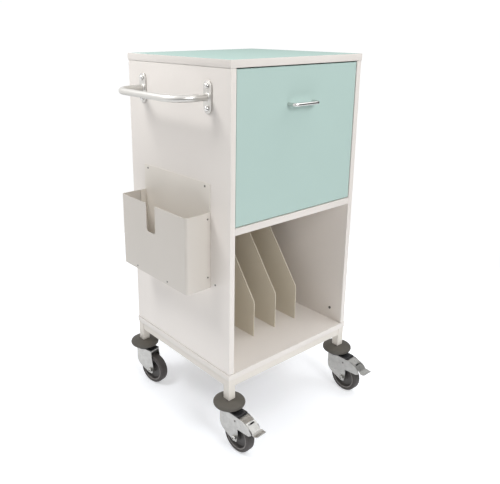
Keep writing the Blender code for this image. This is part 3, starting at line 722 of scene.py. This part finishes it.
@dataclass
class Fastener:
    """A small head that stands on a face, made once and copied."""

    radius: float
    height: float
    recess: float = 0.0
    recess_depth: float = 0.0
    recess_taper: float = 0.3
    least_land: float = 0.0001
    dome: float = 0.55
    dome_steps: int = 5
    facets: int = 24
    slot: str = "zinc"
    finish: Finish = SCREW_STEEL
    master: Piece | None = field(default=None, init=False)

    def build(self) -> None:
        """Models the head along Z: a drum, domed by a bevel, with a socket in its top."""
        clear_selection()
        bpy.ops.mesh.primitive_cylinder_add(
            vertices=self.facets, radius=self.radius, depth=self.height, location=(0, 0, self.height / 2)
        )
        head = bpy.context.object
        fix_place()
        open_mesh(head)
        pick(head, top_rim(self.height))
        round_edges(self.dome * self.height, self.dome_steps)
        if self.recess > 0:
            pick(head, lambda middle, normal: normal.z > FLAT and middle.z > UPPER * self.height, True)
            land = self.radius - self.dome * self.height - self.recess
            bpy.ops.mesh.inset(thickness=max(self.least_land, land))
            extrude((0, 0, -self.recess_depth))
            bpy.ops.mesh.inset(thickness=self.recess_taper * self.recess)
        close_mesh()
        self.master = head

    def fit(self, name: str, body: str, at: Iterable[float], axis: Iterable[float]) -> None:
        """Sets one head on a face.

        Args:
            name: Name of the piece.
            body: Body that it moves with.
            at: Point on the face.
            axis: Outward normal of the face.
        """
        if self.master is None:
            self.build()
        dress(copy_at(self.master, pointing(at, axis)), name, body, self.finish)

    def clear(self) -> None:
        """Removes the master head."""
        if self.master is not None:
            discard(self.master)
            self.master = None


@dataclass
class Lipping:
    """Edge band round the cut edges of the boards."""

    depth: float = 0.0018
    proud: float = 0.0003
    cover: float = 0.0001
    rounding: float = 0.0006
    rounding_steps: int = 2

    def edge(self, node: str, facing: Facing) -> None:
        """Bands one edge of a board.

        Args:
            node: Board.
            facing: Side of the board that the edge is on.
        """
        low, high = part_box(node)
        low, high = low.copy(), high.copy()
        for axis, out in enumerate(facing.value):
            if out < 0:
                high[axis] = low[axis] + self.depth
                low[axis] -= self.proud
            elif out > 0:
                low[axis] = high[axis] - self.depth
                high[axis] += self.proud
            else:
                low[axis] -= self.cover
                high[axis] += self.cover
        piece = block(low, high)
        open_mesh(piece)
        pick(piece, lambda middle, along: True)
        round_edges(self.rounding, self.rounding_steps)
        close_mesh()
        name = f"{node}_{facing.name.lower()}_lipping"
        dress(settle(piece), name, "cabinet", WHITE_LIPPING)

    def build(self) -> None:
        """Bands the edges that show."""
        for node in ("worktop", "base_board"):
            for facing in Facing:
                self.edge(node, facing)
        for node in ("left_panel", "right_panel", "middle_shelf"):
            self.edge(node, Facing.FRONT)


@dataclass
class Cabinet:
    """Boards, dividers, base frame and their screws."""

    panel_screw: Fastener = field(default_factory=lambda: Fastener(0.0028, 0.0012, 0.0012, 0.0007))
    inner_screw: Fastener = field(default_factory=lambda: Fastener(0.0045, 0.0022, 0.0022, 0.0012))
    panel_screw_at: Pair = (-0.135, 0.495)
    inner_screw_at: Pair = (-0.148, 0.2745)
    divider_count: int = 4
    lipping: Lipping = field(default_factory=Lipping)

    def dress_nodes(self) -> None:
        """Gives the boards, the dividers, the frame and the runners their finishes."""
        white = ["left_panel", "right_panel", "back_panel", "middle_shelf", "base_board"]
        white += ["drawer_left_side", "drawer_right_side", "drawer_back", "drawer_bottom"]
        cream = [f"{side}_rail" for side in ("front", "rear", "left", "right")]
        cream += [f"{corner.label}_leg" for corner in Corner]
        members = ("cabinet", "middle", "drawer")
        wear(white, WHITE_BOARD)
        wear(["worktop", "drawer_front"], AQUA_BOARD)
        # The dividers wear cream paint with painted warm bounce light.
        wear([f"divider_{number + 1}" for number in range(self.divider_count)], DIVIDER_PAINT_WITH_BOUNCE_LIGHT)
        wear(cream, CREAM_PAINT)
        wear([f"{side}_{member}_runner" for side in ("left", "right") for member in members], ZINC)

    def build(self) -> None:
        """Bands the boards and sets the panel screws."""
        self.lipping.build()
        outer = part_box("left_panel")[0].x
        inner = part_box("right_panel")[0].x
        left = Facing.LEFT.value
        self.panel_screw.fit("left_panel_screw", "cabinet", (outer, *self.panel_screw_at), left)
        self.inner_screw.fit("right_panel_screw", "cabinet", (inner, *self.inner_screw_at), left)
        self.panel_screw.clear()
        self.inner_screw.clear()


@dataclass
class Bow:
    """A round bar bent twice, that stands off a face on its two legs."""

    radius: float
    span: float
    reach: float
    bend: float
    sides: int = 32
    bend_steps: int = 16

    def build(self) -> Piece:
        """Models the bar: a ring extruded up one leg, spun round the bends and extruded to the other foot.

        Returns:
            The bar, with its feet on the XY plane and its span along X.
        """
        half = self.span / 2
        leg = self.reach - self.radius - self.bend
        clear_selection()
        bpy.ops.mesh.primitive_circle_add(vertices=self.sides, radius=self.radius, location=(-half, 0, 0))
        bar = bpy.context.object
        fix_place()
        open_mesh(bar)
        bpy.context.tool_settings.mesh_select_mode = (False, True, False)
        bpy.ops.mesh.select_all(action="SELECT")
        extrude((0, 0, leg))
        self.turn((self.bend - half, 0, leg))
        extrude((self.span - 2 * self.bend, 0, 0))
        self.turn((half - self.bend, 0, leg))
        extrude((0, 0, -leg))
        seal()
        return bar

    def turn(self, centre: Point) -> None:
        """Spins the selected ring through a quarter about Y."""
        bpy.ops.mesh.spin(steps=self.bend_steps, angle=-math.pi / 2, center=centre, axis=(0, 1, 0))


@dataclass
class PushHandle:
    """Push handle of bent tube, welded to two round-ended plates with dome bolts."""

    diameter: float = 0.019
    bend: float = 0.060
    leg_span: float = 0.308
    plate_width: float = 0.033
    plate_height: float = 0.087
    plate_thickness: float = 0.004
    plate_end_steps: int = 14
    plate_edge: float = 0.0009
    plate_edge_steps: int = 3
    weld: float = 0.0026
    weld_steps: int = 5
    weld_facets: int = 48
    bolt: Fastener = field(
        default_factory=lambda: Fastener(
            0.0078, 0.0072, 0.0018, 0.0014, dome=0.70, slot="chrome", finish=CHROME
        )
    )
    bolt_offset: float = 0.0297

    def build_plate(self) -> Piece:
        """Models a plate: a block with its corners rounded into ends and its rim eased.

        Returns:
            The plate, on the XY plane.
        """
        half_width, half_height = self.plate_width / 2, self.plate_height / 2
        plate = block((-half_width, -half_height, 0), (half_width, half_height, self.plate_thickness))
        open_mesh(plate)
        pick(plate, lambda middle, along: abs(along.z) > UPRIGHT)
        round_edges(half_width - MERGE, self.plate_end_steps)
        pick(plate, top_rim(self.plate_thickness))
        round_edges(self.plate_edge, self.plate_edge_steps)
        seal()
        return plate

    def build_weld(self) -> Piece:
        """Models the weld bead round a leg of the tube: a hollow fillet on the plate.

        Returns:
            The bead, about Z.
        """
        inside, outside, foot = self.diameter / 2, self.diameter / 2 + self.weld, self.plate_thickness
        hollow = arc((outside, foot + self.weld), self.weld, 270, 180, self.weld_steps)
        return turned([(inside, foot), (outside, foot), *hollow], self.weld_facets)

    def build(self) -> None:
        """Models the tube, the plates, the weld beads and the bolts in place of the node."""
        low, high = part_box("push_handle")
        middle = Vector((high.x, (low.y + high.y) / 2, (low.z + high.z) / 2))
        tube = Bow(self.diameter / 2, self.leg_span, high.x - low.x, self.bend).build()
        place = pointing(middle, Facing.LEFT.value)
        bow = copy_at(tube, place)
        dress(bow, "push_handle_tube", "cabinet", SATIN_NICKEL)
        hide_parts("push_handle")
        plate, bead = self.build_plate(), self.build_weld()
        for end, side in (("rear", -1), ("front", 1)):
            at = place @ Matrix.Translation((side * self.leg_span / 2, 0, 0))
            dress(copy_at(plate, at), f"push_handle_{end}_plate", "cabinet", SATIN_NICKEL)
            dress(copy_at(bead, at), f"push_handle_{end}_weld", "cabinet", SATIN_NICKEL)
            for level, rise in (("upper", self.bolt_offset), ("lower", -self.bolt_offset)):
                seat = at @ Vector((0, rise, self.plate_thickness))
                self.bolt.fit(f"push_handle_{end}_{level}_bolt", "cabinet", seat, Facing.LEFT.value)
        self.bolt.clear()
        discard(tube, plate, bead)


@dataclass
class DrawerPull:
    """Bow handle of polished bar on the drawer front."""

    diameter: float = 0.010
    bend: float = 0.012
    spacing: float = 0.096
    sides: int = 28
    bend_steps: int = 12

    def build(self) -> None:
        """Models the bar in place of the node."""
        low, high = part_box("drawer_handle")
        middle = Vector(((low.x + high.x) / 2, high.y, (low.z + high.z) / 2))
        reach = high.y - low.y
        bar = Bow(self.diameter / 2, self.spacing, reach, self.bend, self.sides, self.bend_steps).build()
        pull = copy_at(bar, pointing(middle, Facing.FRONT.value))
        dress(pull, "drawer_pull", "drawer", CHROME)
        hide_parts("drawer_handle")
        discard(bar)


@dataclass
class DocumentPocket:
    """Sheet pocket with its screws and rivets."""

    screw: Fastener = field(default_factory=lambda: Fastener(0.0030, 0.0014, 0.0013, 0.0008))
    rivet: Fastener = field(default_factory=lambda: Fastener(0.0026, 0.0010))
    screw_below_top: float = 0.010
    screw_offsets: Pair = (-0.1395, 0.141)
    rivet_from_wall: float = 0.011
    rivet_heights: Pair = (0.687, 0.515)
    front_rivet_offsets: Pair = (-0.071, 0.085)
    front_rivet_height: float = 0.010
    sheet: float = 0.0015
    edge: float = 0.0003

    def build(self) -> None:
        """Eases the sheets, and sets the plate's screws and the rivets of the folded front."""
        # The back plate wears cream paint lightened with painted light.
        ease("pocket_back", POCKET_BACK_PAINTED_LIGHT, self.edge)
        # The front wears cream paint darkened with painted shade.
        ease("pocket_front", POCKET_PAINT_WITH_PAINTED_SHADE, self.edge)
        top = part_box("pocket_back")[1]
        low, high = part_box("pocket_front")
        middle, left = (low.y + high.y) / 2, Facing.LEFT.value
        for number, offset in enumerate(self.screw_offsets, 1):
            at = (top.x - self.sheet, middle + offset, top.z - self.screw_below_top)
            self.screw.fit(f"pocket_plate_screw_{number}", "cabinet", at, left)
        x = high.x - self.rivet_from_wall
        for side, y, facing in (("front", low.y, Facing.FRONT), ("rear", high.y, Facing.REAR)):
            for level, z in zip(("upper", "lower"), self.rivet_heights):
                self.rivet.fit(f"pocket_{side}_{level}_rivet", "cabinet", (x, y, z), facing.value)
        for side, y, facing in (("front", low.y, Facing.REAR), ("rear", high.y, Facing.FRONT)):
            at = (x, y + facing.value[1] * self.sheet, self.rivet_heights[0])
            self.rivet.fit(f"pocket_{side}_upper_rivet_tail", "cabinet", at, facing.value)
        for number, offset in enumerate(self.front_rivet_offsets, 1):
            at = (low.x, middle + offset, low.z + self.front_rivet_height)
            self.rivet.fit(f"pocket_front_rivet_{number}", "cabinet", at, left)
        self.screw.clear()
        self.rivet.clear()


@dataclass
class Caster:
    """One caster: pressings, turned pieces, a black plate of painted reflection on the crown, pivot rivets
    and axle caps.
    """

    corner: Corner
    trail: float = 0.044
    fit: float = 0.0003
    turned_edge: Offsets = ((-0.0008, 0.0), (0.0, -0.0008))
    crown_top: float = 0.1203
    # The black plate on the crown is painted reflection and shade: the zinc there mirrors the dark bumper
    # above.
    cover_height: float = 0.0036
    cover_half_width: float = 0.0196
    cover_start: float = 0.012
    braked_cover_end: float = 0.0565
    plain_cover_end: float = 0.0475
    cover_edge: float = 0.0016
    cover_edge_steps: int = 3
    cutter_radius: float = 0.0314
    cutter_depth: float = 0.036
    cutter_facets: int = 64
    cheek: float = 0.020
    pivot_height: float = 0.1045
    axle_face: float = 0.0243
    wheel_radius: float = 0.050
    tyre_half: float = 0.015
    shoulder: float = 0.007
    seat_edge: Offsets = ((0.0, -0.0006), (0.0006, 0.0))
    rim_outside: float = 0.0402
    rim_inside: float = 0.0367
    rim_half: float = 0.0138
    rim_edge: Offsets = ((-0.0004, 0.0), (0.0, -0.0004))
    rim_lip: Offsets = ((-0.0002, -0.0006), (0.0006, 0.0))
    rim_root: Offsets = ((-0.0050, 0.0), (-0.0036, 0.0006), (-0.0028, 0.0020))
    web_half: float = 0.003
    boss_root: Offsets = ((0.0010, 0.0014), (0.0026, 0.0))
    boss_radius: float = 0.012
    boss_half: float = 0.0172
    bore: float = 0.0043
    bumper_edge: float = 0.015
    bumper_edge_from: float = 68.0
    bumper_edge_steps: int = 14
    bumper_flat: float = 0.021
    bumper_step: Offsets = ((0.0, 0.0), (0.0022, -0.0003))
    bumper_hole: float = 0.010
    head_radius: float = 0.031
    head_taper: float = 0.003
    stem_radius: float = 0.0100
    pin_radius: float = 0.006
    pressed_edge: float = 0.0004
    lip_from: float = 0.125
    lip_rise: float = 0.5
    lip_corner: float = 0.0055
    bead_at: float = 0.0862
    bead_height: float = 0.1160
    bead_length: float = 0.024
    bead_width: float = 0.0026
    bead_rise: float = 0.0016
    bead_slope: float = math.radians(20)
    bead_roundness: float = 0.8
    bead_steps: int = 4
    rivet: Fastener = field(default_factory=lambda: Fastener(0.0031, 0.0010))
    cap: Fastener = field(
        default_factory=lambda: Fastener(0.0074, 0.0036, 0.0036, 0.0030, dome=0.75, finish=ZINC)
    )

    def frame(self) -> Matrix:
        """Place of the swivel axis on the floor, with X along the axle and -Y behind the swivel."""
        low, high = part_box(f"{self.corner.label}_bumper")
        return Matrix.Translation((*((low + high) / 2).xy, 0.0)) @ Matrix.Rotation(self.corner.yaw, 4, "Z")

    def build_cover(self) -> None:
        """Models a black plate on the crown, painting the dark bumper's reflection in the zinc and the shade
        under the bumper: a bevelled plate cut round the swivel head.
        """
        end = self.braked_cover_end if self.corner.braked else self.plain_cover_end
        half, top = self.cover_half_width, self.crown_top + self.cover_height
        cover = block((-half, -end, self.crown_top), (half, -self.cover_start, top))
        open_mesh(cover)
        pick(
            cover,
            lambda middle, along: middle.z > top - MERGE
            and (middle.y < MERGE - end or abs(middle.x) > half - MERGE),
        )
        round_edges(self.cover_edge, self.cover_edge_steps)
        close_mesh()
        clear_selection()
        bpy.ops.mesh.primitive_cylinder_add(
            vertices=self.cutter_facets, radius=self.cutter_radius, depth=self.cutter_depth,
            location=(0, 0, self.crown_top),
        )
        cut_away(cover, bpy.context.object)
        cover.matrix_world = self.frame()
        label = self.corner.label
        # A black plate standing for the bumper's dark reflection and shade on the crown.
        dress(settle(cover), f"{label}_dust_cover", f"{label}_swivel", BLACK_PLASTIC_AND_DARK_REFLECTION)

    def hub_profile(self) -> Profile:
        """Boss, web and rim of the wheel centre."""
        return mirrored([
            (self.bore, self.boss_half),
            *shifted((self.boss_radius, self.boss_half), self.turned_edge),
            *shifted((self.boss_radius, self.web_half), self.boss_root),
            *shifted((self.rim_inside, self.web_half), self.rim_root),
            *shifted((self.rim_inside, self.rim_half), self.rim_lip),
            *shifted((self.rim_outside, self.rim_half), self.rim_edge),
        ])

    def tyre_profile(self) -> Profile:
        """Tread with round shoulders on a straight seat.

        Returns:
            The profile.
        """
        seat = (self.rim_outside + self.fit, self.tyre_half)
        middle = (self.wheel_radius - self.shoulder, self.tyre_half - self.shoulder)
        return mirrored([*shifted(seat, self.seat_edge), *arc(middle, self.shoulder, 90, 0)])

    def bumper_profile(self) -> Profile:
        """Ring with a rounded rim and a raised seat for the leg.

        Returns:
            The profile.
        """
        low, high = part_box(f"{self.corner.label}_bumper")
        rim = self.bumper_edge / 2
        middle = ((high.x - low.x) / 2 - rim, low.z + rim)
        return [
            (self.bumper_hole, high.z), *shifted((self.bumper_flat, high.z), self.bumper_step),
            *arc(middle, rim, self.bumper_edge_from, -90, self.bumper_edge_steps),
            (self.bumper_hole, low.z), (self.bumper_hole, high.z),
        ]

    def head_profile(self) -> Profile:
        """Bearing housing, with the stem and the king pin.

        Returns:
            The profile.
        """
        low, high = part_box(f"{self.corner.label}_swivel_head")
        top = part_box(f"{self.corner.label}_bumper")[0].z - self.fit
        base = self.crown_top + self.fit
        return [
            (0.0, high.z), (self.stem_radius, high.z), (self.stem_radius, top),
            *shifted((self.head_radius, top), self.turned_edge),
            (self.head_radius, base + self.head_taper), (self.head_radius - self.head_taper, base),
            (self.pin_radius, base), (self.pin_radius, low.z), (0.0, low.z),
        ]

    def build_round(self) -> None:
        """Models the turned pieces in place of their nodes."""
        label = self.corner.label
        upright = Matrix.Translation((*self.frame().translation.xy, 0.0))
        axle = self.frame() @ Matrix.Translation((0, -self.trail, self.wheel_radius))
        along_axle = axle @ Matrix.Rotation(math.pi / 2, 4, "Y")
        centre = tuple(along_axle.translation)
        hub, tyre = (finish.about(label, centre, self.corner.yaw) for finish in (HUB_PLASTIC, TYRE_RUBBER))
        rounds = [
            ("bumper", self.bumper_profile(), upright, "bumper_rubber", BUMPER_RUBBER),
            ("swivel_head", self.head_profile(), upright, "black_plastic", BLACK_PLASTIC_AND_DARK_REFLECTION),
            ("hub", self.hub_profile(), along_axle, "hub_plastic", hub),
            ("tyre", self.tyre_profile(), along_axle, "tyre_rubber", tyre),
        ]
        for part, profile, place, slot, finish in rounds:
            node = f"{label}_{part}"
            piece = turned(profile)
            piece.matrix_world = place
            settle(piece)
            if part == "bumper":
                low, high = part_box(f"{label}_leg")
                gap = Vector((self.fit,) * 3)
                cut_away(piece, block(low - gap, high + gap))
                settle(piece)
            dress(piece, f"{node}_turned", frame["nodes"][node]["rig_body"], finish)
            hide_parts(node)

    def build_fasteners(self) -> None:
        """Sets the pivot rivets on the cheeks and the caps on the axle's ends."""
        place = self.frame()
        label = self.corner.label
        for side, sign in (("left", -1.0), ("right", 1.0)):
            out = place.to_3x3() @ Vector((sign, 0, 0))
            end = place @ Vector((sign * self.axle_face, -self.trail, self.wheel_radius))
            self.cap.fit(f"{label}_axle_{side}_cap", f"{label}_swivel", end, out)
            if self.corner.braked:
                at = place @ Vector((sign * self.cheek, -self.trail, self.pivot_height))
                self.rivet.fit(f"{label}_pivot_{side}_rivet", f"{label}_swivel", at, out)
        self.cap.clear()
        self.rivet.clear()

    def lip_edge(self, middle: Vector, along: Vector) -> bool:
        """Whether an edge is an end corner of the pedal's lip.

        Args:
            middle: Middle of the edge.
            along: Its direction.

        Returns:
            True for a corner.
        """
        at = self.frame().inverted() @ middle
        across = self.frame().to_3x3() @ Vector((1, 0, 0))
        outermost = at.y < -self.lip_from and abs(at.x) > self.cheek - MERGE
        return outermost and abs(along.dot(across)) < SQUARE and abs(along.z) > self.lip_rise

    def build_bead(self) -> None:
        """Models the pressed bead over the pedal's slot: a block with its upper edges rounded."""
        label = self.corner.label
        half_length, half_width = self.bead_length / 2, self.bead_width / 2
        bead = block((-half_length, -half_width, -self.bead_rise), (half_length, half_width, self.bead_rise))
        open_mesh(bead)
        pick(bead, lambda middle, along: middle.z > self.bead_rise - MERGE)
        round_edges(self.bead_roundness * half_width, self.bead_steps)
        close_mesh()
        at = self.frame() @ Matrix.Translation((0, -self.bead_at, self.bead_height))
        bead.matrix_world = at @ Matrix.Rotation(self.bead_slope, 4, "X")
        dress(settle(bead), f"{label}_pedal_bead", f"{label}_brake", ZINC)

    def build_pressings(self) -> None:
        """Eases the pressed fork and pedal, and dresses the axle."""
        label = self.corner.label
        ease(f"{label}_fork", ZINC, self.pressed_edge)
        if self.corner.braked:
            ease(f"{label}_brake_pedal", ZINC, self.pressed_edge, self.lip_edge, self.lip_corner)
            self.build_bead()
        wear([f"{label}_axle"], ZINC)

    def build(self) -> None:
        """Dresses the caster and adds its trim."""
        self.build_pressings()
        self.build_round()
        self.build_cover()
        self.build_fasteners()


@dataclass(frozen=True)
class Softbox:
    """A soft square lamp: its place, the point that it faces, its side and its watts."""

    name: str
    at: Point
    toward: Point
    size: float
    power: float

    def build(self) -> None:
        """Makes the lamp."""
        data = bpy.data.lights.new(self.name, "AREA")
        data.shape = "SQUARE"
        data.size = self.size
        data.energy = self.power
        lamp = bpy.data.objects.new(self.name, data)
        lamp.location = self.at
        lamp.rotation_euler = (Vector(self.toward) - Vector(self.at)).to_track_quat("-Z", "Y").to_euler()
        bpy.context.scene.collection.objects.link(lamp)


@dataclass
class Studio:
    """Camera at the photograph's angle, pale floor and soft light."""

    camera_at: Point = (-1.1889, -1.3211, 1.1989)
    camera_yaw: float = math.radians(39.48)
    camera_pitch: float = math.radians(16.504)
    focal_pixels: float = 594.73
    shift: Pair = (0.0663, -0.084)
    floor_radius: float = 1.7
    floor_facets: int = 96
    floor_drop: float = 0.0005
    glow_span: Pair = (0.0, 0.66)
    glow_levels: Pair = (0.18, 0.72)
    room_span: Pair = (-0.5, 0.5)
    room_levels: Pair = (0.19, 0.46)
    gloss_axis: Point = (-0.45, 0.55, 0.60)
    gloss_span: Pair = (-0.15, 0.55)
    gloss_levels: Pair = (0.20, 1.20)
    surround: float = 1.02
    softboxes: tuple[Softbox, ...] = (
        Softbox("left_softbox", (-1.1, 0.5, 2.0), (-0.22, 0.1, 0.95), 0.6, 15.0),
        Softbox("right_softbox", (1.0, -0.9, 2.6), (0.1, 0, 0.5), 1.7, 22.0),
        Softbox("front_softbox", (-0.3, -2.2, 1.9), (0.05, -0.1, 0.3), 1.0, 29.0),
    )

    def build_camera(self) -> None:
        """Makes the camera."""
        data = bpy.data.cameras.new("studio_camera")
        data.sensor_width = SENSOR
        data.lens = self.focal_pixels / IMAGE_WIDTH * SENSOR
        data.shift_x, data.shift_y = self.shift
        camera = bpy.data.objects.new("studio_camera", data)
        camera.location = self.camera_at
        camera.rotation_euler = (math.pi / 2 - self.camera_pitch, 0, -self.camera_yaw)
        bpy.context.scene.collection.objects.link(camera)
        bpy.context.scene.camera = camera

    def build_floor(self) -> None:
        """Makes the pale floor, which glows more away from the object."""
        clear_selection()
        bpy.ops.mesh.primitive_circle_add(
            vertices=self.floor_facets, radius=self.floor_radius, fill_type="NGON",
            location=(0, 0, -self.floor_drop),
        )
        floor = bpy.context.object
        floor.name = "studio_floor"
        paper = STUDIO_PAPER.material()
        tree = paper.node_tree
        shader = tree.nodes["Principled BSDF"]
        shader.inputs["Emission Color"].default_value = WHITE
        place = tree.nodes.new("ShaderNodeTexCoord").outputs["Object"]
        away = operate(tree, "VectorMath", "LENGTH", place)["Value"]
        glow = remap(tree, away, self.glow_span, self.glow_levels, "SMOOTHSTEP")
        tree.links.new(glow, shader.inputs["Emission Strength"])
        floor.data.materials.append(paper)

    def build_light(self) -> None:
        """Makes the fill light, what gloss mirrors, the white surround and the softboxes."""
        world = bpy.data.worlds.new("studio_world")
        world.use_nodes = True
        tree = world.node_tree
        background = tree.nodes["Background"]
        background.inputs["Color"].default_value = WHITE
        way = tree.nodes.new("ShaderNodeTexCoord").outputs["Generated"]
        ahead = (math.sin(self.camera_yaw), math.cos(self.camera_yaw), 0.0)
        facing = operate(tree, "VectorMath", "DOT_PRODUCT", way, ahead)["Value"]
        lit = remap(tree, facing, self.room_span, self.room_levels, "SMOOTHSTEP")
        leaning = operate(tree, "VectorMath", "DOT_PRODUCT", way, self.gloss_axis)["Value"]
        gloss = remap(tree, leaning, self.gloss_span, self.gloss_levels, "SMOOTHSTEP")
        white = tree.nodes.new("ShaderNodeValue").outputs["Value"]
        white.default_value = self.surround
        seen = tree.nodes.new("ShaderNodeLightPath")
        for ray, source in (("Is Glossy Ray", gloss), ("Is Camera Ray", white)):
            mix = tree.nodes.new("ShaderNodeMix")
            tree.links.new(seen.outputs[ray], mix.inputs["Factor"])
            tree.links.new(lit, mix.inputs["A"])
            tree.links.new(source, mix.inputs["B"])
            lit = mix.outputs["Result"]
        tree.links.new(lit, background.inputs["Strength"])
        bpy.context.scene.world = world
        for softbox in self.softboxes:
            softbox.build()

    def build(self) -> None:
        """Makes the camera, the floor and the light."""
        bpy.context.scene.view_settings.view_transform = "Standard"
        self.build_camera()
        self.build_floor()
        self.build_light()


def main() -> None:
    """Builds the sub-assemblies in order."""
    logging.basicConfig(level=logging.INFO, format="%(message)s")
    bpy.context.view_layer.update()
    cabinet = Cabinet()
    cabinet.dress_nodes()
    cabinet.build()
    PushHandle().build()
    DrawerPull().build()
    DocumentPocket().build()
    for corner in Corner:
        Caster(corner).build()
    Studio().build()
    clear_selection()


if __name__ == "__main__":
    main()
